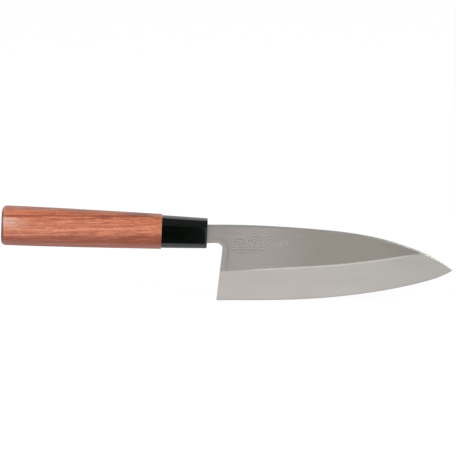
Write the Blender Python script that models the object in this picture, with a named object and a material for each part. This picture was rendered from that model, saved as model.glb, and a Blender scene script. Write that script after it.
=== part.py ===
"""A deba: a thick single-bevel knife for fish and poultry, with a hidden tang in an octagonal wooden handle.

The knife stands edge down along X, tip at +X and spine up. Its bevelled side faces -Y and its flat back
faces +Y. The origin lies under the middle of the knife, level with the straight part of the edge.
"""

from math import cos, pi, radians, sin, tan

import bmesh
import bpy

# Blade, in a side plane whose x starts at the heel point and whose z starts at the straight edge.
HEEL_X = -0.00687  # the heel point lies this far towards the butt from the middle of the knife
BLADE_LENGTH = 0.1500  # heel point to tip
TIP_HEIGHT = 0.0194
NECK_THICKNESS = 0.0048
DISTAL_TAPER = 0.0132  # thickness lost per metre of length, towards the tip
HEEL_LEAN = 0.115  # how far the heel line leans towards the tip, per metre of height
NECK_RADIUS = 0.0037  # where the neck turns down into the heel line
BACK_Y = NECK_THICKNESS / 2

# Handle, along an axis that starts at the ferrule's mouth and rises slightly towards the butt.
MOUTH = (-0.0056, 0.0440)  # from the heel point
HANDLE_TILT = radians(2.35)
HANDLE_LENGTH = 0.1304
FERRULE_LENGTH = 0.0289
EASE = 0.0007  # width of the eased long corners
BUTT_ROUND = 0.0032
MOUTH_ROUND = 0.0006
SHOULDER_ROUND = 0.0003
FIT_GAP = 0.0003  # between two pieces that touch
ROUND_STEPS = 4

# Tang, in the handle's axis: x back from the mouth, z above and below the axis.
TANG_LENGTH = 0.0900
TANG_TOP = (0.00515, 0.00280)  # at the mouth and at the far end
TANG_BOTTOM = (-0.00595, -0.00340)
TANG_END_THICKNESS = 0.0032
TANG_START = -FIT_GAP

# Spigot of the grip, which the ferrule is pushed over, and the bore that the tang is set in.
SPIGOT_LENGTH = 0.0160
SPIGOT_HEIGHT = 0.0154
SPIGOT_WIDTH = 0.0126
SPIGOT_CORNER = 0.0052
ADHESIVE_WALL = 0.0005
BORE_CORNER = 0.0025
BORE_DEPTH_PAST_TANG = 0.0030

# Outlines: each row holds x, z and the slope of the curve there.
SPINE = (
    (-0.0056, 0.0492, 0.010),
    (0.0600, 0.0465, -0.085),
    (0.1150, 0.0370, -0.335),
    (BLADE_LENGTH, TIP_HEIGHT, -0.830),
)
EDGE = (
    (0.0240, 0.0000, 0.000),
    (0.0900, 0.0039, 0.135),
    (0.1294, 0.01133, 0.262),
    (BLADE_LENGTH, TIP_HEIGHT, 0.640),
)
BEVEL_TOP_X = 0.1310  # where the bevel's upper line runs out at the spine
BEVEL_TOP_SLOPE = 0.172
BEVEL_MIDDLE = (0.0600, 0.02255, 0.050)
BEVEL_HEEL_HEIGHT = 0.0196
BEVEL_HEEL_SLOPE = 0.055
EDGE_ABREAST_X = 0.1370  # the edge point abreast of the bevel line's end

# Grip and ferrule sections: height, thickness and corner cut at distances from the mouth, with slopes.
GRIP_HEIGHT = ((FERRULE_LENGTH, 0.0207, 0.034), (HANDLE_LENGTH, 0.0235, 0.000))
GRIP_THICKNESS = ((FERRULE_LENGTH, 0.0182, 0.022), (HANDLE_LENGTH, 0.0200, 0.000))
GRIP_CUT = ((FERRULE_LENGTH, 0.0039, 0.006), (HANDLE_LENGTH, 0.0044, 0.004))
FERRULE_HEIGHT = ((0.0, 0.0177, 0.0555), (FERRULE_LENGTH, 0.0193, 0.0555))
FERRULE_THICKNESS = ((0.0, 0.0158, 0.045), (FERRULE_LENGTH, 0.0171, 0.045))
FERRULE_CUT = ((0.0, 0.0033, 0.0104), (FERRULE_LENGTH, 0.0036, 0.0104))

SPINE_STATIONS = 26
BEVEL_STATIONS = 24
TIP_STATIONS = 10
GRIP_STATIONS = 8
FILLET_STEPS = 8
SLOT_CORNER_STEPS = 4
SHARP_ANGLE = radians(24)


def curve(knots, x):
    """Height at x of the smooth curve through the knots, each an x, a height and a slope."""
    spans = list(zip(knots, knots[1:]))
    start, end = next((s for s in spans if x <= s[1][0]), spans[-1])
    width = end[0] - start[0]
    t = max(0.0, min(1.0, (x - start[0]) / width))
    rise = (3 - 2 * t) * t * t
    return (
        (1 - rise) * start[1]
        + rise * end[1]
        + width * t * (1 - t) * ((1 - t) * start[2] - t * end[2])
    )


def mix(a, b, t):
    return a + (b - a) * t


def arc(centre, radius, start, end, steps):
    """Points on an arc, with both ends, angles in radians from +x towards +z."""
    angles = [mix(start, end, i / steps) for i in range(steps + 1)]
    return [(centre[0] + radius * cos(a), centre[1] + radius * sin(a)) for a in angles]


def on_handle(back, up):
    """The side-plane point this far back from the mouth along the handle's axis, and up from the axis."""
    return (
        MOUTH[0] - back * cos(HANDLE_TILT) + up * sin(HANDLE_TILT),
        MOUTH[1] + back * sin(HANDLE_TILT) + up * cos(HANDLE_TILT),
    )


def blade_thickness(x):
    return NECK_THICKNESS - DISTAL_TAPER * (x - MOUTH[0])


def tang_thickness(back):
    return mix(NECK_THICKNESS, TANG_END_THICKNESS, (back - TANG_START) / TANG_LENGTH)


def tang_limits(back):
    """The tang's lowest and highest point, from the axis."""
    t = max(0.0, back / TANG_LENGTH)
    return mix(*TANG_BOTTOM, t), mix(*TANG_TOP, t)


def principled(name, colour, metallic, roughness):
    material = bpy.data.materials.new(name)
    material.use_nodes = True
    shader = material.node_tree.nodes["Principled BSDF"]
    shader.inputs["Base Color"].default_value = (*colour, 1)
    shader.inputs["Metallic"].default_value = metallic
    shader.inputs["Roughness"].default_value = roughness
    return material


def finished(bm, name, material):
    """The object made of a closed bmesh, with faces outwards, round stretches smooth and corners sharp."""
    bmesh.ops.remove_doubles(bm, verts=bm.verts, dist=1e-6)
    bmesh.ops.recalc_face_normals(bm, faces=bm.faces)
    mesh = bpy.data.meshes.new(name)
    bm.to_mesh(mesh)
    bm.free()
    mesh.shade_smooth()
    mesh.set_sharp_from_angle(angle=SHARP_ANGLE)
    obj = bpy.data.objects.new(name, mesh)
    bpy.context.scene.collection.objects.link(obj)
    if material:
        mesh.materials.append(material)
    else:
        obj.hide_render = True
        obj.display_type = "WIRE"
    return obj


def loft(name, sections, material=None):
    """A closed solid through sections with equally many points each. No material makes a cutter."""
    bm = bmesh.new()
    rings = [[bm.verts.new(p) for p in section] for section in sections]
    count = len(rings[0])
    for first, second in zip(rings, rings[1:]):
        for i in range(count):
            j = (i + 1) % count
            bm.faces.new((first[i], first[j], second[j], second[i]))
    bm.faces.new(rings[0])
    bm.faces.new(rings[-1])
    return finished(bm, name, material)


def boolean(obj, other, operation):
    modifier = obj.modifiers.new(other.name, "BOOLEAN")
    modifier.operation = operation
    modifier.solver = "EXACT"
    modifier.object = other


def neck_and_heel():
    """Outline from the neck's underside at the mouth, round the fillet, to where it meets the heel line."""
    start = on_handle(TANG_START, tang_limits(TANG_START)[0])
    turn = pi / 2 + HEEL_LEAN
    corner = (HEEL_LEAN * start[1], start[1])
    back = NECK_RADIUS * tan(turn / 2)
    centre = (corner[0] - back, corner[1] - NECK_RADIUS)
    return [start] + arc(centre, NECK_RADIUS, pi / 2, pi / 2 - turn, FILLET_STEPS)


def tang_outline():
    """Outline of the tang behind the mouth, from its underside round its far end to its top."""
    low, high = tang_limits(TANG_LENGTH)
    radius = (high - low) / 2
    centre = (TANG_LENGTH - radius, (low + high) / 2)
    end = arc(centre, radius, -pi / 2, pi / 2, FILLET_STEPS)
    return [on_handle(back, up) for back, up in end]


def build_blade(steel):
    """Blade and tang in one piece of steel. Flat and bevel meet along the bevel line on the -Y side."""
    bm = bmesh.new()

    def point(x, z, y):
        return bm.verts.new((HEEL_X + x, y, z))

    def flat_y(x):
        return BACK_Y - blade_thickness(x)

    top = on_handle(TANG_START, tang_limits(TANG_START)[1])
    bevel_heel_x = HEEL_LEAN * BEVEL_HEEL_HEIGHT
    bevel_line = (
        (bevel_heel_x, BEVEL_HEEL_HEIGHT, BEVEL_HEEL_SLOPE),
        BEVEL_MIDDLE,
        (BEVEL_TOP_X, curve(SPINE, BEVEL_TOP_X), BEVEL_TOP_SLOPE),
    )

    # The spine up to the end of the bevel line, then on to the tip.
    spine_x = [mix(top[0], BEVEL_TOP_X, i / SPINE_STATIONS) for i in range(SPINE_STATIONS + 1)]
    spine_front = [point(x, curve(SPINE, x), flat_y(x)) for x in spine_x]
    spine_back = [point(x, curve(SPINE, x), BACK_Y) for x in spine_x]
    tip = point(BLADE_LENGTH, TIP_HEIGHT, BACK_Y)

    # The bevel between its upper line and the edge.
    edge, bevel = [], []
    for i in range(BEVEL_STATIONS + 1):
        t = i / BEVEL_STATIONS
        x = EDGE_ABREAST_X * t
        edge.append(point(x, curve(EDGE, x), BACK_Y))
        x = mix(bevel_heel_x, BEVEL_TOP_X, t)
        bevel.append(point(x, curve(bevel_line, x), flat_y(x)))
    bevel[-1] = spine_front[-1]

    # Past the bevel line's end the bevel reaches the spine, which thins out with the blade's height.
    full = curve(SPINE, BEVEL_TOP_X) - curve(EDGE, EDGE_ABREAST_X)
    for i in range(1, TIP_STATIONS):
        t = i / TIP_STATIONS
        x_edge = mix(EDGE_ABREAST_X, BLADE_LENGTH, t)
        x = mix(BEVEL_TOP_X, BLADE_LENGTH, t)
        share = (curve(SPINE, x) - curve(EDGE, x_edge)) / full
        edge.append(point(x_edge, curve(EDGE, x_edge), BACK_Y))
        bevel.append(point(x, curve(SPINE, x), BACK_Y - share * blade_thickness(BEVEL_TOP_X)))
        spine_front.append(bevel[-1])
        spine_back.append(point(x, curve(SPINE, x), BACK_Y))

    heel = neck_and_heel()
    heel_front = [point(x, z, flat_y(x)) for x, z in heel]
    heel_back = [point(x, z, BACK_Y) for x, z in heel]
    tang = tang_outline()
    tang_y = tang_thickness(TANG_LENGTH) / 2
    tang_front = [point(x, z, -tang_y) for x, z in tang]
    tang_back = [point(x, z, tang_y) for x, z in tang]

    bm.faces.new(heel_front + bevel[: BEVEL_STATIONS + 1] + spine_front[SPINE_STATIONS - 1 :: -1])
    bm.faces.new(heel_back + edge + [tip] + spine_back[::-1])
    bm.faces.new((heel_front[-1], bevel[0], edge[0], heel_back[-1]))
    round_tang = (
        [heel_front[0]] + tang_front + [spine_front[0]],
        [heel_back[0]] + tang_back + [spine_back[0]],
    )
    ribbons = (
        (bevel + [tip], edge + [tip]),
        (spine_front + [tip], spine_back + [tip]),
        (heel_front, heel_back),
        round_tang,
    )
    for side in round_tang:
        bm.faces.new(side)
    for first, second in ribbons:
        for i in range(len(first) - 1):
            corners = (first[i], first[i + 1], second[i + 1], second[i])
            bm.faces.new(dict.fromkeys(corners))
    return finished(bm, "blade", steel)


def handle_object(obj):
    """Places an object that was modelled along the handle's own axis."""
    obj.location = (HEEL_X + MOUTH[0], 0, MOUTH[1])
    obj.rotation_euler = (0, HANDLE_TILT, 0)
    return obj


def octagon(back, height, thickness, cut, inset=0.0):
    """An eight-sided section with eased corners, at a distance back from the mouth."""
    y = thickness / 2 - inset
    z = height / 2 - inset
    cut = cut - inset * (2 - 2**0.5)
    ease = EASE / 2
    slant = ease / 2**0.5
    quarter = (
        (y, z - cut - ease),
        (y - slant, z - cut + slant),
        (y - cut + slant, z - slant),
        (y - cut - ease, z),
    )
    upper = list(quarter) + [(-a, b) for a, b in reversed(quarter)]
    section = upper + [(-a, -b) for a, b in upper]
    return [(-back, a, b) for a, b in section]


def handle_section(back, rows, inset=0.0):
    return octagon(back, *(curve(row, back) for row in rows), inset)


def rounded_ends(end, radius, direction):
    """Distances and insets that round off one end: direction is +1 at the butt and -1 at the mouth."""
    angles = [pi / 2 * i / ROUND_STEPS for i in range(ROUND_STEPS + 1)]
    return [(end - direction * radius * (1 - sin(a)), radius * (1 - cos(a))) for a in angles]


def slot_section(back, low, high, width, corner):
    """An upright rounded rectangle across the handle's axis."""
    y = width / 2 - corner
    top, bottom = high - corner, low + corner
    points = []
    for turn, centre in enumerate(((y, top), (-y, top), (-y, bottom), (y, bottom))):
        points += arc(centre, corner, turn * pi / 2, (turn + 1) * pi / 2, SLOT_CORNER_STEPS)
    return [(-back, a, b) for a, b in points]


def tang_sleeve(name, start, end, clearance, corner, material=None):
    """A tapered block that follows the tang, larger than it by the clearance all round."""
    sections = []
    for back in (start, end):
        low, high = tang_limits(back)
        width = tang_thickness(back) + 2 * clearance
        sections.append(slot_section(back, low - clearance, high + clearance, width, corner))
    return handle_object(loft(name, sections, material))


def build_ferrule(black):
    """Black ferrule: a closed front with a slot for the tang, and a socket for the grip's spigot."""
    rows = (FERRULE_HEIGHT, FERRULE_THICKNESS, FERRULE_CUT)
    rear = FERRULE_LENGTH - FIT_GAP / 2
    front = rounded_ends(0.0, MOUTH_ROUND, -1)[::-1]
    sections = [handle_section(back, rows, inset) for back, inset in front]
    sections.append(handle_section(rear, rows))
    ferrule = handle_object(loft("ferrule", sections, black))
    half = SPIGOT_HEIGHT / 2 + FIT_GAP
    socket_end = FERRULE_LENGTH - SPIGOT_LENGTH - FIT_GAP
    socket = loft(
        "socket_cutter",
        [
            slot_section(back, -half, half, SPIGOT_WIDTH + 2 * FIT_GAP, SPIGOT_CORNER + FIT_GAP)
            for back in (socket_end, FERRULE_LENGTH + MOUTH_ROUND)
        ],
    )
    boolean(ferrule, handle_object(socket), "DIFFERENCE")
    slot = tang_sleeve("slot_cutter", -MOUTH_ROUND, FERRULE_LENGTH, FIT_GAP, FIT_GAP)
    boolean(ferrule, slot, "DIFFERENCE")
    return ferrule


def build_grip(wood):
    """Wooden grip: eight sides that swell towards a rounded butt, with a spigot and a bore for the tang."""
    rows = (GRIP_HEIGHT, GRIP_THICKNESS, GRIP_CUT)
    front = FERRULE_LENGTH + FIT_GAP / 2
    first = front + SHOULDER_ROUND
    last = HANDLE_LENGTH - BUTT_ROUND
    sections = [handle_section(front, rows, SHOULDER_ROUND)]
    for i in range(GRIP_STATIONS):
        sections.append(handle_section(mix(first, last, i / GRIP_STATIONS), rows))
    for back, inset in rounded_ends(HANDLE_LENGTH, BUTT_ROUND, 1):
        sections.append(handle_section(back, rows, inset))
    grip = handle_object(loft("grip", sections, wood))
    half = SPIGOT_HEIGHT / 2
    spigot_ends = (FERRULE_LENGTH - SPIGOT_LENGTH, FERRULE_LENGTH + SPIGOT_LENGTH / 2)
    spigot = loft(
        "spigot_core",
        [slot_section(back, -half, half, SPIGOT_WIDTH, SPIGOT_CORNER) for back in spigot_ends],
    )
    boolean(grip, handle_object(spigot), "UNION")
    clearance = 2 * FIT_GAP + ADHESIVE_WALL
    depth = TANG_LENGTH + BORE_DEPTH_PAST_TANG + FIT_GAP
    bore = tang_sleeve("bore_cutter", 0.0, depth, clearance, BORE_CORNER)
    boolean(grip, bore, "DIFFERENCE")
    return grip


def build_adhesive(resin):
    """The cured adhesive that holds the tang in the bore: a sleeve with a closed far end."""
    start = FERRULE_LENGTH - SPIGOT_LENGTH
    depth = TANG_LENGTH + BORE_DEPTH_PAST_TANG
    clearance = FIT_GAP + ADHESIVE_WALL
    adhesive = tang_sleeve("tang_adhesive", start, depth, clearance, BORE_CORNER - FIT_GAP, resin)
    hollow = tang_sleeve("tang_cutter", 0.0, TANG_LENGTH + FIT_GAP, FIT_GAP, FIT_GAP)
    boolean(adhesive, hollow, "DIFFERENCE")
    return adhesive


def main():
    for old in list(bpy.data.objects):
        bpy.data.objects.remove(old, do_unlink=True)
    build_blade(principled("blade_steel", (0.42, 0.41, 0.39), 1.0, 0.35))
    build_ferrule(principled("ferrule_black", (0.008, 0.010, 0.009), 0.0, 0.18))
    build_grip(principled("grip_wood", (0.42, 0.15, 0.085), 0.0, 0.45))
    build_adhesive(principled("adhesive_resin", (0.35, 0.27, 0.16), 0.0, 0.5))


main()
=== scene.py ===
"""The looks of a deba: a single-bevel knife with a wooden eight-sided handle and a black ferrule.

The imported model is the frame. The blade, grip and ferrule are rebuilt here as dense meshes with eased
edges, a ground bevel, a hollow back and a chiselled wave motif. The cured adhesive keeps its CAD mesh.
The knife stands edge down along X, tip at +X, with its bevelled side facing -Y. Lengths are in metres.
"""

from math import atan2, cos, pi, radians, sin, tan

import bpy
import numpy as np
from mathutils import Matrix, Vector
from mathutils.geometry import delaunay_2d_cdt


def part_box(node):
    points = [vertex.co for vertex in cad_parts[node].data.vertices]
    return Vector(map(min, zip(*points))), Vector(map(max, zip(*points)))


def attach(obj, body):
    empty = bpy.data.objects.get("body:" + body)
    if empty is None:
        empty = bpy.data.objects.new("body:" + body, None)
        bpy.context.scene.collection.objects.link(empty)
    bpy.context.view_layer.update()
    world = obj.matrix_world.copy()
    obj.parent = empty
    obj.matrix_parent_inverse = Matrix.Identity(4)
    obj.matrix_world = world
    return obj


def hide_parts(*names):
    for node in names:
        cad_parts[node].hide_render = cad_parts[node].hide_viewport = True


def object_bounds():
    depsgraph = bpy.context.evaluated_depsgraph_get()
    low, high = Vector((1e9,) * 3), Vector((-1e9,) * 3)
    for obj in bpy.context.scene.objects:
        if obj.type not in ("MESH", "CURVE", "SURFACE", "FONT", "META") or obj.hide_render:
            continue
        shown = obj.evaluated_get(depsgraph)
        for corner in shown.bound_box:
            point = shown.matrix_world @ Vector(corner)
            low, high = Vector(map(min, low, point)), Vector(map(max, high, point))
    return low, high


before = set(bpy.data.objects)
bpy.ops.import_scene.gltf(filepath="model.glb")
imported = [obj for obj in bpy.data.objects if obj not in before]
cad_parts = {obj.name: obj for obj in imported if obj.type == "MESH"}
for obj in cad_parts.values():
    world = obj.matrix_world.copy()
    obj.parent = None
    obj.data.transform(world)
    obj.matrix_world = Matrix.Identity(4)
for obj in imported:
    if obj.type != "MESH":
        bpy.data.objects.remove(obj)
CAD_BOUNDS = [list(corner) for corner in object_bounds()]

# Blade, in a side plane whose x starts at the heel point and whose z starts at the straight part of the edge.
BLADE_LENGTH = 0.1500  # heel point to tip
TIP_HEIGHT = 0.0194
NECK_THICKNESS = 0.0048
DISTAL_TAPER = 0.0132  # thickness lost per metre of length
HEEL_LEAN = 0.115  # how far the heel line leans towards the tip, per metre of height
NECK_RADIUS = 0.0037
BACK_Y = NECK_THICKNESS / 2
HEEL_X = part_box("blade")[1].x - BLADE_LENGTH
EDGE_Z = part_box("blade")[0].z
SPINE = (
    (-0.0056, 0.0492, 0.010),
    (0.0600, 0.0465, -0.085),
    (0.1150, 0.0370, -0.335),
    (BLADE_LENGTH, TIP_HEIGHT, -0.830),
)
EDGE = (
    (0.0240, 0.0000, 0.000),
    (0.0900, 0.0039, 0.135),
    (0.1294, 0.01133, 0.262),
    (BLADE_LENGTH, TIP_HEIGHT, 0.640),
)
BEVEL_END_X = 0.1310  # where the bevel line runs out at the spine
BEVEL_HEEL_HEIGHT = 0.0196

# Handle, along an axis that starts at the ferrule's mouth and rises slightly towards the butt.
MOUTH = (-0.0056, 0.0440)  # from the heel point
HANDLE_TILT = radians(2.35)
HANDLE_LENGTH = 0.1304
FERRULE_LENGTH = 0.0289
BUTT_ROUND = 0.0032
FIT_GAP = 0.0003  # between two pieces that touch
GRIP_HEIGHT = ((FERRULE_LENGTH, 0.0207, 0.034), (HANDLE_LENGTH, 0.0235, 0.000))
GRIP_THICKNESS = ((FERRULE_LENGTH, 0.0182, 0.022), (HANDLE_LENGTH, 0.0200, 0.000))
GRIP_CUT = ((FERRULE_LENGTH, 0.0039, 0.006), (HANDLE_LENGTH, 0.0044, 0.004))
FERRULE_HEIGHT = ((0.0, 0.0177, 0.0555), (FERRULE_LENGTH, 0.0193, 0.0555))
FERRULE_THICKNESS = ((0.0, 0.0158, 0.045), (FERRULE_LENGTH, 0.0171, 0.045))
FERRULE_CUT = ((0.0, 0.0033, 0.0104), (FERRULE_LENGTH, 0.0036, 0.0104))

# Tang, spigot and bore, in the handle's axis.
TANG_LENGTH = 0.0900
TANG_TOP = (0.00515, 0.00280)
TANG_BOTTOM = (-0.00595, -0.00340)
TANG_END_THICKNESS = 0.0032
TANG_START = -FIT_GAP
SPIGOT_LENGTH = 0.0160
SPIGOT_HEIGHT = 0.0154
SPIGOT_WIDTH = 0.0126
SPIGOT_CORNER = 0.0052
ADHESIVE_WALL = 0.0005
BORE_CORNER = 0.0025
BORE_DEPTH_PAST_TANG = 0.0030

# Mesh of the blade.
OUTLINE_STEP = 0.0005
GRID_STEP = 0.0006
CURVE_SAMPLES = 600
ARC_STEPS = 40
TANG_END_STEPS = 12
NECK_TOP = 0.0500  # above every point of the blade
THINNEST = 1e-7  # two points closer than this are one
BLADE_SHARP = 50  # degrees between faces from which an edge of the blade looks sharp

# Finish of the blade.
RIM_RADIUS = 0.00035  # easing of the spine, the heel and the neck
RIM_ROWS = (0.06, 0.22, 0.50, 1.00, 1.60)  # shares of the easing
RIM_SHARE = 0.35  # the easing's largest share of a thin blade
BEVEL_CROWN = 0.00010
CROWN_HEIGHT = 0.012  # bevels lower than this are less crowned
MICRO_BEVEL = 0.0009  # width of the honed strip along the edge
MICRO_THICKNESS = 0.00028
HONED_ROWS = (0.50, 0.90, 1.00, 1.15)  # shares of the honed strip's width
RIDGE_EASE = 0.00032  # half the width of the rounded bevel line
RIDGE_START = (0.012, 0.034)  # where the painted highlight on the bevel line fades in, and where it fades out
RIDGE_END = (BEVEL_END_X, 0.115)
HOLLOW_START_X = 0.004
HOLLOW_DEPTH = 0.0003
HOLLOW_SHARE = 0.3  # the hollow's largest share of a thin blade
HOLLOW_RIM = 0.0036  # flat rim left round the hollow back
HOLLOW_RUN = 0.0140
GROOVE_PLACE = 0.0033  # shallow trough beside the heel line and the fillet, with painted shade in it
GROOVE_WIDTH = 0.0009
GROOVE_DEPTH = 0.00004
GROOVE_FADE_X = (-0.004, 0.001)
GROOVE_FADE_HEIGHT = 0.004

# Chiselled motif, from the heel point: rolling waves over two ripples.
CRESTS = (  # x, z and size
    (0.0148, 0.0368, 0.0046),
    (0.0244, 0.0378, 0.0050),
    (0.0340, 0.0366, 0.0044),
    (0.0428, 0.0364, 0.0036),
)
NESTED_ARCS = (1.0, 0.66, 0.34)  # shares of a crest's size
ARC_TURN = (radians(8), radians(172))
RIPPLES = ((0.0343, 0.0105, 0.0300), (0.0325, 0.0130, 0.0262))  # z, and the x of both ends
RIPPLE_HEIGHT = 0.00045
RIPPLE_LENGTH = 0.0032
RIPPLE_SAMPLES = 200
STROKE_WIDTH = 0.00062
STROKE_DEPTH = 0.00014
STROKE_STEP = 0.00016
STROKE_ROWS = (-0.85, -0.50, 0.00, 0.50, 0.85)  # shares of the stroke's width
STROKE_SHADE = (0.75, 0.45)  # place and reach of the painted shade beside a stroke, as shares of its width

# Mesh and finish of the handle.
FLAT_POINTS = 7  # across each facet
RIDGE_POINTS = 7  # round each ridge
GRIP_RIDGE_RADIUS = 0.0015
FERRULE_RIDGE_RADIUS = 0.0010
FACET_CROWN = 0.00018
SEAM = 0.00005  # gap that shows between the ferrule and the grip
SHOULDER_ROUND = 0.00035
MOUTH_ROUND = 0.0007
REAR_ROUND = 0.0002
ROW_MARGIN = 0.0005  # between a rounding and the next plain section
BORE_ROWS = 8
GRIP_ROWS = 60
FERRULE_ROWS = 20
SHARP = 32  # the same for every other piece, in degrees

# Steel, as linear colours: the darkest and the lightest brushing lines of each zone.
FLAT_HEEL = ((0.420, 0.388, 0.366), (0.484, 0.447, 0.421))
FLAT_MIDDLE = ((0.336, 0.306, 0.276), (0.383, 0.349, 0.316))
BEVEL_HEEL = ((0.490, 0.463, 0.443), (0.521, 0.493, 0.472))
BEVEL_TIP = ((0.440, 0.426, 0.396), (0.466, 0.451, 0.421))
# painted light: the flat turns lighter towards the neck
FLAT_NECK_LIGHT = (0.600, 0.550, 0.525)
FLAT_TIP = (0.286, 0.266, 0.235)
STEEL_CLOUD = (0.36, 0.335, 0.31)
HEEL_TO_MIDDLE = (0.020, 0.070)  # from the heel point, where one tone turns into the next
HEEL_TO_NECK = (0.006, -0.005)
MIDDLE_TO_TIP = (0.098, 0.126)
BEVEL_TO_TIP = (0.060, 0.145)
STEEL_MASKS = (  # mask, strength and colour, laid over each other in this order
    # painted shade in the trough beside the heel line
    ("trough", 0.30, (0.27, 0.25, 0.235)),
    # painted light on the border strip outside the trough
    ("border", 0.22, (0.55, 0.52, 0.50)),
    # painted highlight along the bevel line
    ("ridge", 0.80, (0.78, 0.76, 0.73)),
    # painted shade beside the strokes, and a painted highlight in them
    ("shade", 0.50, (0.24, 0.22, 0.205)),
    ("stroke", 0.80, (0.74, 0.70, 0.67)),
    # painted light on the eased spine
    ("spine", 0.70, (0.86, 0.84, 0.81)),
    # painted shade on the honed strip along the edge
    ("honed", 0.45, (0.36, 0.34, 0.32)),
)
# the spine's painted light is laid on the back as well
MASKS_ON_BACK = ("spine",)

# Wood, as linear colours and as heights above the edge or, for the side, above the handle's axis.
WOOD_LIGHT = (0.780, 0.290, 0.165)
WOOD_MIDDLE = (0.660, 0.212, 0.108)
WOOD_WARM = (0.640, 0.180, 0.075)
WOOD_DARK = (0.290, 0.068, 0.033)
WOOD_FIBRE = (0.420, 0.118, 0.058)
# painted shade low on the side, deepened where the grain is dark
WOOD_SHADE = (0.225, 0.040, 0.011)
# painted sheen at the butt
WOOD_PAINTED_SHEEN = (0.760, 0.440, 0.350)
WOOD_PORE = (0.130, 0.034, 0.020)
# dark end grain, and painted shade on the butt's rim
WOOD_END_AND_SHADE = (0.070, 0.024, 0.015)
WANDER = 0.0016  # how far the figure strays from straight
SHADE_TOP = 0.0453  # painted shade low on the side, stronger where the grain is dark
SHADE_FULL = 0.0438
STREAK = 0.0559  # a dark growth line high on the side
STREAK_FALL = 0.010
STREAK_WIDTH = 0.0008
SIDE_LOW = (-0.002, 0.004)  # above the axis, where the painted sheen at the butt fades in, and out
SIDE_HIGH = (0.0075, 0.0068)
SHEEN_RUN = (0.020, 0.003)  # the painted sheen's run, from the butt
# from the butt, where the dark end grain, with painted shade on the rim, fades in
END_GRAIN_AND_SHADE = (0.0022, 0.0012)
END_SOFTER = 0.0004  # the butt's own face is less dark than its rim, where the darkness is partly painted shade
BUTT_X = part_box("grip")[0].x

# Ferrule and adhesive, as linear colours, and the range that most of a noise lies in.
FERRULE_BLACK = ((0.0008, 0.0020, 0.0010), (0.0024, 0.0040, 0.0028))
RESIN = ((0.30, 0.20, 0.10), (0.42, 0.31, 0.18))
SPREAD = (0.3, 0.7)

# Studio.
STUDIO_RADIUS = 7.0
STUDIO_SIDES = 64
TABLE_DROP = 0.0002  # the table lies just under the edge
TABLE_GLOW = 0.95  # enough to swallow the shadow
WALL_GLOW = 1.0
STUDIO_TONES = ((0.10, 0.10, 0.10), (0.12, 0.12, 0.12))
CARD_Y = -0.10  # a black card before the ferrule
CARD_X = (-0.066, -0.009)
CARD_Z = (0.001, 0.052)
LIGHT_PLACE = (0.88, -0.74, 0.80)  # the key light stands at -x and the fill light at +x
LIGHT_AIM = (0, 0, 0.03)
LIGHT_SIZE = (0.7, 0.6)
KEY_POWER = 11
FILL_POWER = 8.2
SKY_BY_HEIGHT = (0.10, 0.85, 0.56, 0.23)  # direction's z from and to, and the strength at each
SKY_BY_DEPTH = (-0.80, -0.30, 0.45, 1.0)  # the same with y: darker behind the camera
LENS = 500
SENSOR = 36
VIEW_WIDTH = 0.28885
VIEW_ELEVATION = radians(12)
VIEW_HEIGHT = 0.0469
VIEW_SHIFT = 0.0006  # from the middle of the knife


def mix(a, b, t):
    return a + (b - a) * t


def smooth(low, high, value):
    """0 below low, 1 above high, and a smooth rise between."""
    t = np.clip((np.asarray(value, float) - low) / (high - low), 0.0, 1.0)
    return t * t * (3 - 2 * t)


def curve(knots, x):
    """Heights at x of the smooth curve through the knots, each an x, a height and a slope."""
    rows = np.array(knots, float)
    x = np.asarray(x, float)
    span = np.clip(np.searchsorted(rows[:, 0], x) - 1, 0, len(rows) - 2)
    start, end = rows[span], rows[span + 1]
    width = end[..., 0] - start[..., 0]
    t = np.clip((x - start[..., 0]) / width, 0.0, 1.0)
    rise = (3 - 2 * t) * t * t
    ends = (1 - rise) * start[..., 1] + rise * end[..., 1]
    return ends + width * t * (1 - t) * ((1 - t) * start[..., 2] - t * end[..., 2])


BEVEL_LINE = (
    (HEEL_LEAN * BEVEL_HEEL_HEIGHT, BEVEL_HEEL_HEIGHT, 0.055),
    (0.0600, 0.02255, 0.050),
    (BEVEL_END_X, float(curve(SPINE, BEVEL_END_X)), 0.172),
)


# ---------------------------------------------------------------- blade surfaces


def blade_thickness(x):
    return NECK_THICKNESS - DISTAL_TAPER * (x - MOUTH[0])


def bevel_top(x):
    """Height of the bevel's upper border: the bevel line, then the spine past the line's end."""
    return np.where(x < BEVEL_END_X, curve(BEVEL_LINE, x), curve(SPINE, x))


def top_thickness(x):
    """Thickness at the bevel's upper border, which runs out to nothing at the tip."""
    height = curve(SPINE, x) - curve(EDGE, x)
    full = curve(SPINE, BEVEL_END_X) - curve(EDGE, BEVEL_END_X)
    share = np.where(x < BEVEL_END_X, 1.0, np.clip(height / full, 0.0, 1.0))
    return share * blade_thickness(np.minimum(x, BEVEL_END_X))


def bevel_thickness(x, z):
    """Thickness between the edge and the bevel's upper border, with the honed strip and the crown."""
    low, high = curve(EDGE, x), bevel_top(x)
    height = np.maximum(high - low, 1e-6)
    rise = np.clip(z - low, 0.0, height)
    full = top_thickness(x)
    strip = np.minimum(MICRO_BEVEL, height / 2)
    honed = np.minimum(MICRO_THICKNESS, full * 0.5)
    above = honed + (rise - strip) / np.maximum(height - strip, 1e-6) * (full - honed)
    share = rise / height
    crown = BEVEL_CROWN * 4 * share * (1 - share) * smooth(0.0, CROWN_HEIGHT, height)
    return np.where(rise < strip, rise / strip * honed, above + crown)


def arc(centre, radius, start, end, steps):
    """Points on an arc, with both ends, angles in radians from +x towards +z."""
    angles = np.linspace(start, end, steps + 1)
    return [(centre[0] + radius * cos(a), centre[1] + radius * sin(a)) for a in angles]


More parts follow.
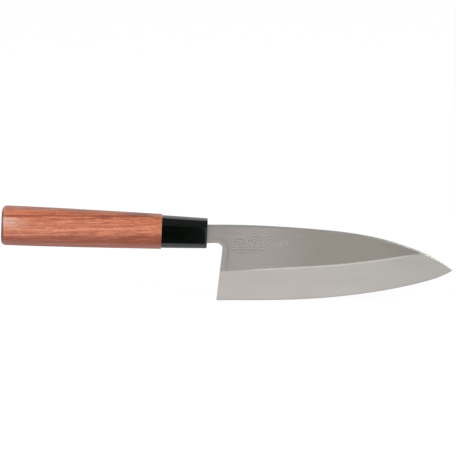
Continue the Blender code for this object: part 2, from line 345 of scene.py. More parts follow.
def on_handle(back, up):
    """The side-plane point that lies back from the mouth along the handle's axis, and up from the axis."""
    return (
        MOUTH[0] - back * cos(HANDLE_TILT) + up * sin(HANDLE_TILT),
        MOUTH[1] + back * sin(HANDLE_TILT) + up * cos(HANDLE_TILT),
    )


def tang_thickness(back):
    return mix(NECK_THICKNESS, TANG_END_THICKNESS, (back - TANG_START) / TANG_LENGTH)


def tang_limits(back):
    """The tang's lowest and highest point, from the axis."""
    t = max(0.0, back / TANG_LENGTH)
    return mix(*TANG_BOTTOM, t), mix(*TANG_TOP, t)


def spaced(points, step):
    """The polyline resampled at about this spacing, both ends kept."""
    points = np.array(points, float)
    length = np.concatenate([[0], np.cumsum(np.linalg.norm(np.diff(points, axis=0), axis=1))])
    places = np.linspace(0, length[-1], max(2, int(round(length[-1] / step)) + 1))
    return np.column_stack([np.interp(places, length, points[:, i]) for i in (0, 1)])


def sampled(height, start, end):
    """Points of a height over x, close enough to stand for the curve."""
    x = np.linspace(start, end, CURVE_SAMPLES)
    return np.column_stack([x, height(x)])


def fillet():
    """Where the neck's underside starts, and the centre and the turn of its fillet into the heel line."""
    start = on_handle(TANG_START, tang_limits(TANG_START)[0])
    turn = pi / 2 + HEEL_LEAN
    return start, (HEEL_LEAN * start[1] - NECK_RADIUS * tan(turn / 2), start[1] - NECK_RADIUS), turn


def neck_and_heel():
    """From the neck's underside at the mouth, round the fillet, down the heel line to the heel point."""
    start, centre, turn = fillet()
    return [start] + arc(centre, NECK_RADIUS, pi / 2, pi / 2 - turn, ARC_STEPS) + [(0.0, 0.0)]


def outline():
    """The blade's side outline in parts: neck and heel, edge, spine, and tang."""
    heel = spaced(neck_and_heel(), OUTLINE_STEP)
    edge = spaced(sampled(lambda x: curve(EDGE, x), 0.0, BLADE_LENGTH), OUTLINE_STEP)
    top = on_handle(TANG_START, tang_limits(TANG_START)[1])
    spine = spaced(sampled(lambda x: curve(SPINE, x), BLADE_LENGTH, top[0]), OUTLINE_STEP)
    low, high = tang_limits(TANG_LENGTH)
    radius = (high - low) / 2
    end = arc((TANG_LENGTH - radius, (low + high) / 2), radius, pi / 2, -pi / 2, TANG_END_STEPS)
    ends = [on_handle(back, up) for back, up in end]
    tang = spaced([tuple(spine[-1])] + ends + [tuple(heel[0])], 5 * OUTLINE_STEP)
    return heel, edge, spine, tang


def distance_to(points, line):
    """Distance from each point to a polyline."""
    best = np.full(len(points), 1.0)
    for a, b in zip(line, line[1:]):
        along = b - a
        t = np.clip(((points - a) @ along) / (along @ along), 0, 1)
        best = np.minimum(best, np.linalg.norm(points - a - t[:, None] * along, axis=1))
    return best


def beside(line, offset):
    """The polyline moved sideways: a positive offset is to its left as it runs."""
    along = np.gradient(line, axis=0)
    along /= np.linalg.norm(along, axis=1)[:, None]
    return line + offset * np.column_stack([-along[:, 1], along[:, 0]])


def wave_strokes():
    """Centrelines of the motif: rolling crests of nested arcs, and the ripples under them."""
    strokes = []
    for x, z, size in CRESTS:
        for share in NESTED_ARCS:
            strokes.append(spaced(arc((x, z), size * share, *ARC_TURN, ARC_STEPS), STROKE_STEP))
    for z, start, end in RIPPLES:
        x = np.linspace(start, end, RIPPLE_SAMPLES)
        swell = RIPPLE_HEIGHT * np.sin((x - start) / RIPPLE_LENGTH * 2 * pi)
        strokes.append(spaced(np.column_stack([x, z + swell]), STROKE_STEP))
    return strokes


# ---------------------------------------------------------------- blade mesh


def rim_drop(distance, radius):
    """How far an eased edge falls away at this distance inside the outline."""
    radius = np.maximum(radius, 1e-9)
    inside = np.clip(radius - distance, 0.0, radius)
    return radius - np.sqrt(np.maximum(radius**2 - inside**2, 0.0))


def lattice(low, high, step):
    """A staggered lattice of points over a box."""
    rows = np.arange(low[1], high[1], step * 3**0.5 / 2)
    points = []
    for i, z in enumerate(rows):
        x = np.arange(low[0] + step / 2 * (i % 2), high[0], step)
        points.append(np.column_stack([x, np.full(len(x), z)]))
    return np.concatenate(points)


def inside_blade(points):
    """Whether each point lies in the visible blade, ahead of the mouth."""
    x, z = points[:, 0], points[:, 1]
    start, centre, _ = fillet()
    away = np.linalg.norm(points - np.array(centre), axis=1)
    behind_heel = (x < HEEL_LEAN * z) & (z < start[1])
    in_fillet = (x > centre[0]) & (z > centre[1]) & (away > NECK_RADIUS)
    body = (z > curve(EDGE, x)) & (z < curve(SPINE, x)) & (x < BLADE_LENGTH) & (x > MOUTH[0] + FIT_GAP)
    return body & (~behind_heel | in_fillet)


def clear_of(points, lines, clearance):
    """The points that lie in the visible blade and further than the clearance from every line."""
    points = points[inside_blade(points)]
    for line in lines:
        points = points[distance_to(points, line) > clearance]
    return points


def blade_points(heel, edge, spine, strokes):
    """Points for the blade's mesh: rows by each border, the bevel line and the strokes, and a lattice."""
    reach = RIM_ROWS[-1] * RIM_RADIUS
    x = np.linspace(0.0, BEVEL_END_X, int(BEVEL_END_X / OUTLINE_STEP))
    line = curve(BEVEL_LINE, x)
    rims = [beside(border, share * RIM_RADIUS) for border in (heel, spine) for share in RIM_ROWS]
    honed = [edge + (0, share * MICRO_BEVEL) for share in HONED_ROWS]
    ridge = [np.column_stack([x, line + lift]) for lift in (-RIDGE_EASE, 0.0, RIDGE_EASE)]
    marks = [beside(stroke, side * STROKE_WIDTH) for stroke in strokes for side in STROKE_ROWS]
    kept = [clear_of(row, (heel, edge, spine), RIM_ROWS[0] * RIM_RADIUS / 2) for row in rims]
    kept += [clear_of(row, (heel, spine), reach) for row in honed]
    kept += [clear_of(row, (heel, spine), 1.05 * reach) for row in ridge + marks]
    grid = lattice((MOUTH[0], 0.0), (BLADE_LENGTH, NECK_TOP), GRID_STEP)
    grid = clear_of(grid, (heel, edge, spine), reach + GRID_STEP / 2)
    grid = grid[grid[:, 1] - curve(EDGE, grid[:, 0]) > HONED_ROWS[-1] * MICRO_BEVEL + GRID_STEP / 2]
    grid = grid[np.abs(grid[:, 1] - curve(BEVEL_LINE, grid[:, 0])) > RIDGE_EASE + GRID_STEP / 2]
    kept.append(clear_of(grid, strokes, STROKE_ROWS[-1] * STROKE_WIDTH + GRID_STEP / 2))
    return np.concatenate(kept)


def chiselled(points, strokes):
    """Distance from each point to the nearest stroke, and the depth there as a share of a stroke's depth."""
    away = np.full(len(points), 1.0)
    for stroke in strokes:
        away = np.minimum(away, distance_to(points, stroke))
    return away, np.clip(1 - away / (STROKE_WIDTH / 2), 0.0, 1.0)


def heel_trough(x, to_heel, lifted, flat):
    """Shares of the trough beside the heel line, which also gets painted shade, and of the border outside it,
    which gets painted light, on the flat only.
    """
    fade = np.where(flat, smooth(0.0, GROOVE_FADE_HEIGHT, lifted) * smooth(*GROOVE_FADE_X, x), 0.0)
    trough = np.exp(-(((to_heel - GROOVE_PLACE) / GROOVE_WIDTH) ** 2))
    return trough * fade, smooth(GROOVE_PLACE, 0.6 * GROOVE_PLACE, to_heel) * fade


def hollow_back(x, to_outline, thick):
    """Depth of the hollow in the back."""
    run = np.clip((np.minimum(to_outline, x - HOLLOW_START_X) - HOLLOW_RIM) / HOLLOW_RUN, 0.0, 1.0)
    return np.minimum(HOLLOW_DEPTH, HOLLOW_SHARE * thick) * (1 - (1 - run) ** 2)


def blade_fields(points, heel, edge, spine, strokes):
    """Front and back y at each point, with the masks for the steel's colour, most of them painted light and
    shade.
    """
    x, z = points[:, 0], points[:, 1]
    to_heel, to_edge, to_spine = (distance_to(points, line) for line in (heel, edge, spine))
    rim = np.minimum(to_heel, to_spine)
    lifted = z - bevel_top(x)
    on_bevel = (lifted < 0) | (x >= BEVEL_END_X)
    thick = np.where(on_bevel, bevel_thickness(x, z), blade_thickness(x))
    eased = rim_drop(rim, np.minimum(RIM_RADIUS, RIM_SHARE * thick))
    away, cut = chiselled(points, strokes)
    trough, border = heel_trough(x, to_heel, lifted, ~on_bevel & (x > MOUTH[0]))
    front = BACK_Y - thick + eased + GROOVE_DEPTH * trough + STROKE_DEPTH * cut
    back = BACK_Y - eased - hollow_back(x, np.minimum(rim, to_edge), thick)
    line = np.exp(-((lifted / RIDGE_EASE) ** 2))
    beside_stroke = np.abs(away / STROKE_WIDTH - STROKE_SHADE[0]) / STROKE_SHADE[1]
    # All but the bevel's mask lay painted light or shade: highlights on the bevel line, strokes, spine and
    # border, shade on the honed strip, in the trough and beside the strokes.
    masks = {
        "bevel": smooth(RIDGE_EASE / 2, -RIDGE_EASE / 2, lifted),
        "ridge": line * smooth(*RIDGE_START, x) * smooth(*RIDGE_END, x),
        "honed": smooth(1.1 * MICRO_BEVEL, 0.9 * MICRO_BEVEL, z - curve(EDGE, x)),
        "border": border,
        "trough": trough,
        "stroke": cut,
        "shade": np.clip(1 - beside_stroke, 0.0, 1.0),
        "spine": smooth(1.3 * RIM_RADIUS, 0.7 * RIM_RADIUS, to_spine),
    }
    return front, back, masks


def with_tang(x, front, back):
    """Front and back y with those of the tang, which lies behind the mouth and round the handle's axis."""
    half = tang_thickness(np.maximum((MOUTH[0] - x) / cos(HANDLE_TILT), 0.0)) / 2
    return np.where(x < MOUTH[0], -half, front), np.where(x < MOUTH[0], half, back)


def two_sided(points, front, back, shut, triangles, rim):
    """Corners and faces: the same triangles front and back, and a ribbon round the rim.

    The front keeps the points' numbers. The back shares the front's corners wherever the two are shut.
    """
    twin = np.where(shut, np.arange(len(points)), len(points) + np.cumsum(~shut) - 1)
    corners = [(HEEL_X + x, y, EDGE_Z + z) for (x, z), y in zip(points, front)]
    corners += [(HEEL_X + x, y, EDGE_Z + z) for (x, z), y, s in zip(points, back, shut) if not s]
    faces = [tuple(t) for t in triangles]
    faces += [tuple(twin[t][::-1]) for t in triangles]
    for a, b in zip(rim, rim[1:] + rim[:1]):
        face = tuple(dict.fromkeys((b, a, twin[a], twin[b])))
        if len(face) > 2:
            faces.append(face)
    return corners, faces


def build_blade():
    """Blade and tang as one closed mesh, which carries at its points the masks for the steel's colour and its
    painted light and shade.
    """
    heel, edge, spine, tang = outline()
    strokes = wave_strokes()
    loop = np.concatenate([heel[:-1], edge[:-1], spine[:-1], tang[:-1]])
    inner = blade_points(heel, edge, spine, strokes)
    flat = [Vector(p) for p in np.concatenate([loop, inner])]
    made = delaunay_2d_cdt(flat, [], [list(range(len(loop)))], 1, THINNEST)
    points, triangles = np.array([tuple(p) for p in made[0]]), np.array(made[2])
    origin = {old: new for new, olds in enumerate(made[3]) for old in olds}
    rim = [origin[i] for i in range(len(loop))]
    front, back, masks = blade_fields(points, heel, edge, spine, strokes)
    front, back = with_tang(points[:, 0], front, back)
    shut = np.abs(front - back) < THINNEST
    obj = mesh_object("blade_body", *two_sided(points, front, back, shut, triangles, rim), BLADE_SHARP)
    for name, values in masks.items():
        behind = values[~shut] * (name in MASKS_ON_BACK)
        attribute = obj.data.attributes.new(name, "FLOAT", "POINT")
        attribute.data.foreach_set("value", np.concatenate([values, behind]).astype(np.float32))
    return obj


def mesh_object(name, corners, faces, sharp):
    """An object from corners and faces, smooth but for edges sharper than this many degrees.

    Its UV map gives brushed metal a direction, along X.
    """
    mesh = bpy.data.meshes.new(name)
    mesh.from_pydata([tuple(map(float, c)) for c in corners], [], [tuple(map(int, f)) for f in faces])
    mesh.validate()
    mesh.shade_smooth()
    mesh.set_sharp_from_angle(angle=radians(sharp))
    layer = mesh.uv_layers.new(name="brushing")
    loops = np.zeros(len(mesh.loops), np.int64)
    mesh.loops.foreach_get("vertex_index", loops)
    places = np.zeros(len(mesh.vertices) * 3, np.float64)
    mesh.vertices.foreach_get("co", places)
    places = places.reshape(-1, 3)[loops]
    x, y, z = places.T
    layer.data.foreach_set("uv", np.column_stack([z + y, x + (z - y) / 20]).astype(np.float32).ravel())
    obj = bpy.data.objects.new(name, mesh)
    bpy.context.scene.collection.objects.link(obj)
    return obj


# ---------------------------------------------------------------- handle meshes


def octagon(back, height, thickness, cut, radius, inset=0.0):
    """An eight-sided section with round ridges and slightly crowned facets."""
    y, z = thickness / 2 - inset, height / 2 - inset
    cut = cut - inset * (2 - 2**0.5)
    ridges = ((y, z - cut), (y - cut, z))
    ridges += tuple((-b[0], b[1]) for b in ridges[::-1])
    ridges += tuple((-a, -b) for a, b in ridges)
    reach = radius * tan(pi / 8)
    points = []
    for i in range(8):
        corner, after = np.array(ridges[i]), np.array(ridges[(i + 1) % 8])
        facing = i * pi / 4
        inwards = np.array((cos(facing + pi / 8), sin(facing + pi / 8)))
        centre = corner - inwards * radius / cos(pi / 8)
        for a in np.linspace(facing, facing + pi / 4, RIDGE_POINTS):
            points.append(centre + radius * np.array((cos(a), sin(a))))
        along = (after - corner) / np.linalg.norm(after - corner)
        start, end = corner + along * reach, after - along * reach
        outward = np.array((cos(facing + pi / 4), sin(facing + pi / 4)))
        for t in np.linspace(0, 1, FLAT_POINTS + 2)[1:-1]:
            points.append(start + (end - start) * t + outward * FACET_CROWN * 4 * t * (1 - t))
    return [(-back, a, b) for a, b in points]


def slot_section(back, low, high, width, corner, like):
    """An upright rounded rectangle whose points lie in the same directions from the axis as those of like."""
    half = width / 2
    places = []
    for _, a, b in like:
        angle = atan2(b, a)
        across, up = cos(angle), sin(angle)
        limit = high if up > 0 else -low
        reach = min(half / max(abs(across), 1e-9), limit / max(abs(up), 1e-9))
        point = np.array((across, up)) * reach
        centre = np.array((half - corner, limit - corner))
        apart = np.abs(point) - centre
        if (apart > 0).all():
            ray = np.abs((across, up))
            b_half, c_full = ray @ centre, centre @ centre - corner**2
            reach = b_half + max(b_half**2 - c_full, 0.0) ** 0.5
            point = np.array((across, up)) * reach
        places.append((-back, *point))
    return places


def handle_section(back, rows, radius, inset=0.0):
    """The octagon at this distance from the mouth, from the rows of height, thickness and corner cut."""
    return octagon(back, *(float(curve(row, back)) for row in rows), radius, inset)


def rounded(end, radius, direction, steps):
    """Distances and insets that round off one end: direction is +1 at the butt and -1 at the mouth."""
    angles = [pi / 2 * i / steps for i in range(steps + 1)]
    return [(end - direction * radius * (1 - sin(a)), radius * (1 - cos(a))) for a in angles]


def loft(name, sections, closed=False):
    """A mesh through sections with the same number of points, capped at both ends or closed in a ring."""
    count = len(sections[0])
    place = Vector((HEEL_X + MOUTH[0], 0, EDGE_Z + MOUTH[1]))
    corners = []
    for x, y, z in (p for section in sections for p in section):
        forward = x * cos(HANDLE_TILT) + z * sin(HANDLE_TILT)
        up = -x * sin(HANDLE_TILT) + z * cos(HANDLE_TILT)
        corners.append(place + Vector((forward, y, up)))
    total = len(sections)
    faces = []
    for i in range(total if closed else total - 1):
        first, second = i * count, (i + 1) % total * count
        for j in range(count):
            k = (j + 1) % count
            faces.append((first + j, second + j, second + k, first + k))
    if not closed:
        faces.append(tuple(range(count)))
        faces.append(tuple(range((total - 1) * count, total * count))[::-1])
    return mesh_object(name, corners, faces, SHARP)


def sleeve(back, clearance, corner, like):
    """A section that follows the tang with this clearance on every side."""
    low, high = tang_limits(back)
    width = tang_thickness(back) + 2 * clearance
    return slot_section(back, low - clearance, high + clearance, width, corner, like)


def build_grip():
    """Wooden grip, from the bore's blind end out to the spigot, over the shoulder and back to the butt."""
    rows = (GRIP_HEIGHT, GRIP_THICKNESS, GRIP_CUT)
    front = FERRULE_LENGTH + SEAM / 2
    like = handle_section(front, rows, GRIP_RIDGE_RADIUS)
    clearance = 2 * FIT_GAP + ADHESIVE_WALL
    depth = TANG_LENGTH + BORE_DEPTH_PAST_TANG + FIT_GAP
    spigot_start = FERRULE_LENGTH - SPIGOT_LENGTH
    half = SPIGOT_HEIGHT / 2
    bore = np.linspace(depth, spigot_start, BORE_ROWS)
    sections = [sleeve(b, clearance, BORE_CORNER, like) for b in bore]
    for b in (spigot_start, front):
        sections.append(slot_section(b, -half, half, SPIGOT_WIDTH, SPIGOT_CORNER, like))
    places = rounded(front, SHOULDER_ROUND, -1, steps=4)[::-1]
    plain = np.linspace(front + 2 * ROW_MARGIN, HANDLE_LENGTH - BUTT_ROUND - ROW_MARGIN, GRIP_ROWS)
    places += [(b, 0.0) for b in plain]
    places += rounded(HANDLE_LENGTH, BUTT_ROUND, 1, steps=10)
    sections += [handle_section(b, rows, GRIP_RIDGE_RADIUS, inset) for b, inset in places]
    return loft("grip_body", sections)


def build_ferrule():
    """Black ferrule: eight sides, a closed front with a slot for the tang, and a socket for the spigot."""
    rows = (FERRULE_HEIGHT, FERRULE_THICKNESS, FERRULE_CUT)
    rear = FERRULE_LENGTH - SEAM / 2
    like = handle_section(rear, rows, FERRULE_RIDGE_RADIUS)
    half = SPIGOT_HEIGHT / 2 + FIT_GAP
    socket_end = FERRULE_LENGTH - SPIGOT_LENGTH - FIT_GAP
    socket = (-half, half, SPIGOT_WIDTH + 2 * FIT_GAP, SPIGOT_CORNER + FIT_GAP, like)
    sections = [slot_section(b, *socket) for b in (rear, socket_end)]
    sections += [sleeve(b, FIT_GAP, FIT_GAP, like) for b in (socket_end, 0.0)]
    places = rounded(0.0, MOUTH_ROUND, -1, steps=6)[::-1]
    plain = np.linspace(MOUTH_ROUND + ROW_MARGIN, rear - 1.5 * REAR_ROUND, FERRULE_ROWS)
    places += [(b, 0.0) for b in plain]
    places += rounded(rear, REAR_ROUND, 1, steps=3)
    sections += [handle_section(b, rows, FERRULE_RIDGE_RADIUS, inset) for b, inset in places]
    return loft("ferrule_body", sections, closed=True)


# ---------------------------------------------------------------- materials


class Nodes:
    """A material's node tree, with short ways to add and join nodes."""

    def __init__(self, name):
        self.material = bpy.data.materials.new(name)
        self.material.use_nodes = True
        self.tree = self.material.node_tree
        self.shader = self.tree.nodes["Principled BSDF"]

    def add(self, kind, inputs=None, **settings):
        node = self.tree.nodes.new(kind)
        for key, value in settings.items():
            setattr(node, key, value)
        for key, value in (inputs or {}).items():
            self.put(node.inputs[key], value)
        return node

    def put(self, socket, value):
        if isinstance(value, bpy.types.NodeSocket):
            self.tree.links.new(value, socket)
        else:
            socket.default_value = value

    def set(self, **values):
        for key, value in values.items():
            self.put(self.shader.inputs[key.replace("_", " ")], value)

    def noise(self, cells, offset, detail=2.0, rough=0.5, distortion=0.0):
        """Noise with this many cells per metre along each axis."""
        coordinates = self.add("ShaderNodeTexCoord").outputs["Object"]
        place = self.add("ShaderNodeMapping", {"Vector": coordinates, "Scale": cells, "Location": offset})
        inputs = {"Vector": place.outputs["Vector"], "Scale": 1.0}
        inputs |= {"Detail": detail, "Roughness": rough, "Distortion": distortion}
        return self.add("ShaderNodeTexNoise", inputs).outputs["Fac"]

    def math(self, operation, a, b=0.0):
        node = self.add("ShaderNodeMath", operation=operation)
        self.put(node.inputs[0], a)
        self.put(node.inputs[1], b)
        return node.outputs[0]

    def weighted(self, a, share_a, b, share_b):
        """The sum of two values, each times its share."""
        return self.math("ADD", self.math("MULTIPLY", a, share_a), self.math("MULTIPLY", b, share_b))

    def span(self, value, low, high, to_low=0.0, to_high=1.0):
        """A smooth change from to_low to to_high, as the value goes from low to high."""
        inputs = {"Value": value, "From Min": low, "From Max": high, "To Min": to_low, "To Max": to_high}
        return self.add("ShaderNodeMapRange", inputs, interpolation_type="SMOOTHSTEP").outputs["Result"]

    def blend(self, factor, a, b):
        node = self.add("ShaderNodeMix", data_type="RGBA")
        self.put(node.inputs[0], factor)
        self.put(node.inputs[6], colour(a))
        self.put(node.inputs[7], colour(b))
        return node.outputs[2]

    def along(self, axis):
        """The object coordinate along one axis."""
        coordinates = self.add("ShaderNodeTexCoord").outputs["Object"]
        return self.add("ShaderNodeSeparateXYZ", {"Vector": coordinates}).outputs[axis]

    def attribute(self, name):
        return self.add("ShaderNodeAttribute", attribute_name=name).outputs["Fac"]

    def bump(self, height, strength, distance):
        inputs = {"Height": height, "Strength": strength, "Distance": distance}
        return self.add("ShaderNodeBump", inputs).outputs["Normal"]


def colour(value):
    """A colour given as three linear shares, or a socket as it is."""
    return (*value, 1.0) if isinstance(value, tuple) and len(value) == 3 else value


def steel_tone(n, lines, bevel):
    """Colour of the flat and the bevel. Both change along the blade, with the brushing's lines in them, and
    the flat has painted light towards the neck.
    """
    along = n.math("SUBTRACT", n.along("X"), HEEL_X)
    line = n.span(lines, 0.35, 0.65)
    flat = n.blend(n.span(along, *HEEL_TO_MIDDLE), n.blend(line, *FLAT_HEEL), n.blend(line, *FLAT_MIDDLE))
    # painted light on the flat towards the neck
    flat = n.blend(n.span(along, *HEEL_TO_NECK, 0.0, 0.65), flat, FLAT_NECK_LIGHT)
    flat = n.blend(n.span(along, *MIDDLE_TO_TIP, 0.0, 0.60), flat, FLAT_TIP)
    line = n.span(lines, *SPREAD)
    ground = n.blend(n.span(along, *BEVEL_TO_TIP), n.blend(line, *BEVEL_HEEL), n.blend(line, *BEVEL_TIP))
    return n.blend(bevel, flat, ground)


def steel_material():
    """Satin steel, brushed along the blade, with a brighter bevel, painted highlights on the bevel line, the
    spine, the strokes and the heel's border, and painted shade beside the strokes, in the heel trough and on
    the honed edge.
    """
    n = Nodes("blade_steel")
    broad = n.noise((26, 40, 90), (3, 1, 2), 3.0)
    brush = n.noise((45, 300, 2600), (1, 4, 2), 3.0, 0.6)
    fine = n.noise((110, 900, 9000), (7, 2, 5), 2.0, 0.6)
    lines = n.weighted(brush, 0.6, fine, 0.4)
    bevel = n.attribute("bevel")
    tone = n.blend(n.span(broad, *SPREAD, 0.0, 0.18), steel_tone(n, lines, bevel), STEEL_CLOUD)
    # painted highlights and shade from the masks
    for mask, strength, shade in STEEL_MASKS:
        tone = n.blend(n.math("MULTIPLY", n.attribute(mask), strength), tone, shade)
    coarser = n.weighted(bevel, -0.06, n.attribute("stroke"), 0.15)
    rough = n.math("ADD", n.span(lines, *SPREAD, 0.34, 0.42), coarser)
    n.set(Base_Color=tone, Roughness=rough, Metallic=1.0, Anisotropic=0.55)
    n.set(Normal=n.bump(n.weighted(brush, 0.7, fine, 0.3), 0.16, 0.00006))
    tangent = n.add("ShaderNodeTangent", direction_type="UV_MAP", uv_map="brushing")
    n.set(Tangent=tangent.outputs["Tangent"])
    return n.material


def wood_grain(n, bands):
    """Colour of the straight grain, without the zones that the grip has in its own places."""
    fibre = n.noise((420, 2200, 2600), (5, 1, 3), 2.0, 0.6)
    strands = n.noise((75, 1300, 2100), (9, 3, 1), 4.0, 0.75)
    warmth = n.noise((14, 160, 300), (6, 2, 2), 2.0)
    tone = n.blend(n.span(bands, 0.42, 0.51), WOOD_DARK, WOOD_MIDDLE)
    tone = n.blend(n.span(bands, 0.49, 0.58), tone, WOOD_LIGHT)
    tone = n.blend(n.span(warmth, 0.45, 0.65, 0.0, 0.40), tone, WOOD_WARM)
    tone = n.blend(n.span(fibre, 0.44, 0.60, 0.0, 0.50), tone, WOOD_FIBRE)
    return n.blend(n.span(strands, 0.52, 0.61, 0.0, 0.70), tone, WOOD_DARK)


def wood_zones(n, tone, bands):
    """The painted shade low on the side, stronger where the grain is dark, the growth line high on it, and
    the painted sheen at the butt.
    """
    wander = n.noise((18, 60, 60), (4, 4, 1), 2.0)
    sway = n.math("MULTIPLY", n.math("SUBTRACT", wander, 0.5), WANDER)
    along = n.along("X")
    height = n.math("ADD", n.math("SUBTRACT", n.along("Z"), EDGE_Z), sway)
    # painted shade low on the side, stronger where the grain is dark
    deep = n.span(bands, 0.62, 0.45, 0.60, 0.95)
    tone = n.blend(n.math("MULTIPLY", n.span(height, SHADE_TOP, SHADE_FULL), deep), tone, WOOD_SHADE)
    fallen = n.math("ADD", height, n.math("MULTIPLY", along, STREAK_FALL))
    apart = n.math("ABSOLUTE", n.math("SUBTRACT", fallen, STREAK))
    tone = n.blend(n.span(apart, STREAK_WIDTH, 0.2 * STREAK_WIDTH, 0.0, 0.92), tone, WOOD_DARK)
    # painted sheen on the side near the butt
    back = n.math("SUBTRACT", along, HEEL_X + MOUTH[0])
    axis = n.math("ADD", n.math("MULTIPLY", back, -tan(HANDLE_TILT)), MOUTH[1])
    level = n.math("SUBTRACT", height, axis)
    side = n.math("MULTIPLY", n.span(level, *SIDE_LOW), n.span(level, *SIDE_HIGH))
    from_butt = n.math("SUBTRACT", along, BUTT_X)
    painted_sheen = n.math("MULTIPLY", n.span(from_butt, *SHEEN_RUN), side)
    return n.blend(n.math("MULTIPLY", painted_sheen, 0.65), tone, WOOD_PAINTED_SHEEN)


def end_grain_and_shade(n):
    """Share of the dark end grain, which runs a little way round the butt's rim, where it also stands for
    painted shade.
    """
    from_butt = n.math("SUBTRACT", n.along("X"), BUTT_X)
    return n.math("MULTIPLY", n.span(from_butt, *END_GRAIN_AND_SHADE), n.span(from_butt, 0.0, END_SOFTER, 0.5, 0.95))


def wood_material():
    """Reddish brown wood with straight grain along X, open pores, a dark streak and a thin satin finish."""
    n = Nodes("grip_wood")
    rings = n.noise((10, 480, 800), (2.3, 0.4, 1.7), 3.0, 0.65, 0.3)
    grain = n.noise((85, 1100, 1900), (0.3, 2.0, 4.1), 4.0, 0.75)
    pores = n.noise((150, 4600, 4600), (1, 7, 2), 1.0, 0.5)
    bands = n.weighted(rings, 0.50, grain, 0.50)
    tone = wood_zones(n, wood_grain(n, bands), bands)
    tone = n.blend(n.span(pores, 0.60, 0.68, 0.0, 0.70), tone, WOOD_PORE)
    # dark end grain with painted shade on the butt's rim
    tone = n.blend(end_grain_and_shade(n), tone, WOOD_END_AND_SHADE)
    rough = n.span(grain, *SPREAD, 0.36, 0.48)
    relief = n.math("SUBTRACT", n.math("MULTIPLY", grain, 0.5), n.span(pores, 0.60, 0.70, 0.0, 0.8))
    n.set(Base_Color=tone, Roughness=rough, Coat_Weight=0.35, Coat_Roughness=0.30)
    n.set(Normal=n.bump(relief, 0.30, 0.00008))
    return n.material


def ferrule_material():
    """Polished black plastic with faint swirls and a few fine scratches."""
    n = Nodes("ferrule_black")
    swirl = n.noise((60, 180, 180), (2, 5, 1), 3.0, 0.6, 0.4)
    scratch = n.noise((300, 4000, 4000), (1, 3, 8), 2.0, 0.6)
    tone = n.blend(n.span(swirl, 0.35, 0.65), *FERRULE_BLACK)
    n.set(Base_Color=tone, Roughness=n.span(swirl, *SPREAD, 0.10, 0.15), Specular_IOR_Level=0.50)
    n.set(Normal=n.bump(n.weighted(swirl, 0.6, scratch, 0.4), 0.08, 0.00004))
    return n.material


def resin_material():
    """Amber adhesive, cloudy with small bubbles."""
    n = Nodes("adhesive_resin")
    cloud = n.noise((300, 300, 300), (0, 0, 0), 3.0, 0.6)
    bubbles = n.noise((1500, 1500, 1500), (0, 0, 0), 1.0)
    tone = n.blend(n.span(cloud, *SPREAD), *RESIN)
    n.set(Base_Color=tone, Roughness=n.span(cloud, *SPREAD, 0.35, 0.55))
    n.set(Normal=n.bump(bubbles, 0.2, 0.0001))
    return n.material


# ---------------------------------------------------------------- studio


def circle(radius, height):
    angles = np.linspace(0, 2 * pi, STUDIO_SIDES + 1)[:-1]
    return [(radius * cos(a), radius * sin(a), height) for a in angles]


def build_studio():
    """A wide white table that glows, and a white wall that only the camera sees."""
    table, top = circle(STUDIO_RADIUS, EDGE_Z - TABLE_DROP), circle(STUDIO_RADIUS, STUDIO_RADIUS)
    count = STUDIO_SIDES
    floor = mesh_object("floor", table, [tuple(range(count))], SHARP)
    faces = [(i, (i + 1) % count, (i + 1) % count + count, i + count) for i in range(count)]
    wall = mesh_object("wall", table + top, faces + [tuple(range(count, 2 * count))], SHARP)
    for piece, glow in ((floor, TABLE_GLOW), (wall, WALL_GLOW)):
        n = Nodes(piece.name + "_white")
        cloud = n.noise((0.8, 0.8, 0.8), (0, 0, 0), 1.0)
        n.set(Base_Color=n.blend(cloud, *STUDIO_TONES), Roughness=0.9)
        n.set(Emission_Color=(1.0, 1.0, 1.0, 1.0), Emission_Strength=glow, Specular_IOR_Level=0.0)
        piece.data.materials.append(n.material)
    wall.visible_diffuse = False
    wall.visible_glossy = False
    wall.visible_shadow = False


def build_card():
    """A black card that only reflections meet, which keeps the ferrule's side dark."""
    (left, right), (low, high) = CARD_X, CARD_Z
    border = ((left, low), (right, low), (right, high), (left, high))
    corners = [(x, CARD_Y, EDGE_Z + z) for x, z in border]
    card = mesh_object("black_card", corners, [(0, 1, 2, 3)], SHARP)
    n = Nodes("black_card")
    n.set(Base_Color=(0.001, 0.001, 0.001, 1.0), Roughness=0.9, Specular_IOR_Level=0.0)
    card.data.materials.append(n.material)
    card.visible_camera = False
    card.visible_shadow = False
    card.visible_diffuse = False


def area_light(name, place, power):
    """A soft rectangular light, turned towards the knife."""
    data = bpy.data.lights.new(name, "AREA")
    data.shape = "RECTANGLE"
    data.size, data.size_y = LIGHT_SIZE
    data.energy = power
    light = bpy.data.objects.new(name, data)
    light.location = place
    light.rotation_mode = "QUATERNION"
    light.rotation_quaternion = (Vector(LIGHT_AIM) - Vector(place)).to_track_quat("-Z", "Y")
    light.visible_camera = False
    bpy.context.scene.collection.objects.link(light)


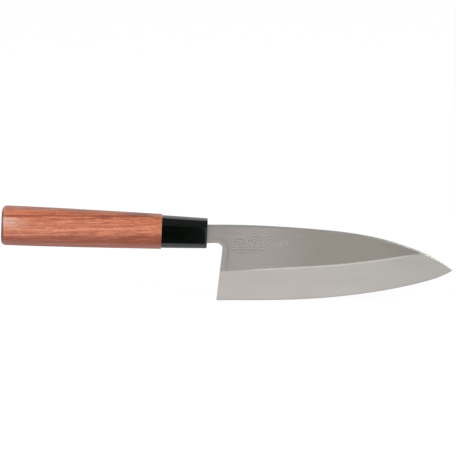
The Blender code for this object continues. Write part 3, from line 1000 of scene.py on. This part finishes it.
def build_world():
    """Pale studio: brighter round the sides, softer overhead and behind the camera."""
    world = bpy.data.worlds.new("studio")
    bpy.context.scene.world = world
    world.use_nodes = True
    tree = world.node_tree
    background = tree.nodes["Background"]
    background.inputs["Color"].default_value = (1.0, 1.0, 1.0, 1.0)
    place = tree.nodes.new("ShaderNodeTexCoord")
    split = tree.nodes.new("ShaderNodeSeparateXYZ")
    tree.links.new(place.outputs["Generated"], split.inputs[0])
    both = tree.nodes.new("ShaderNodeMath")
    both.operation = "MULTIPLY"
    for socket, axis, row in zip(both.inputs, ("Z", "Y"), (SKY_BY_HEIGHT, SKY_BY_DEPTH)):
        share = tree.nodes.new("ShaderNodeMapRange")
        share.interpolation_type = "SMOOTHSTEP"
        for key, value in zip(("From Min", "From Max", "To Min", "To Max"), row):
            share.inputs[key].default_value = value
        tree.links.new(split.outputs[axis], share.inputs["Value"])
        tree.links.new(share.outputs["Result"], socket)
    tree.links.new(both.outputs[0], background.inputs["Strength"])


def build_camera():
    """A long lens, a little above the blade's bevelled side."""
    data = bpy.data.cameras.new("camera")
    data.lens = LENS
    data.sensor_width = SENSOR
    data.clip_end = 3 * STUDIO_RADIUS
    camera = bpy.data.objects.new("camera", data)
    bpy.context.scene.collection.objects.link(camera)
    middle = (CAD_BOUNDS[0][0] + CAD_BOUNDS[1][0]) / 2 + VIEW_SHIFT
    distance = VIEW_WIDTH * LENS / SENSOR
    towards = Vector((0, -cos(VIEW_ELEVATION), sin(VIEW_ELEVATION)))
    camera.location = Vector((middle, BACK_Y, VIEW_HEIGHT)) + distance * towards
    camera.rotation_euler = (pi / 2 - VIEW_ELEVATION, 0, 0)
    bpy.context.scene.camera = camera


def dress():
    """Puts the visible pieces in the place of their CAD nodes, and gives the adhesive its material."""
    dressed = (
        (build_blade(), "blade", "blade_steel", steel_material()),
        (build_grip(), "grip", "grip_wood", wood_material()),
        (build_ferrule(), "ferrule", "ferrule_black", ferrule_material()),
    )
    for piece, node, slot, material in dressed:
        piece.data.materials.append(material)
        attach(piece, "root")
        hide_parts(node)
    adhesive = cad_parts["tang_adhesive"]
    adhesive.data.materials.clear()
    adhesive.data.materials.append(resin_material())


def main():
    bpy.context.scene.view_settings.view_transform = "Standard"
    dress()
    build_studio()
    build_world()
    x, y, z = LIGHT_PLACE
    area_light("key", (-x, y, z), KEY_POWER)
    area_light("fill", (x, y, z), FILL_POWER)
    build_card()
    build_camera()


main()
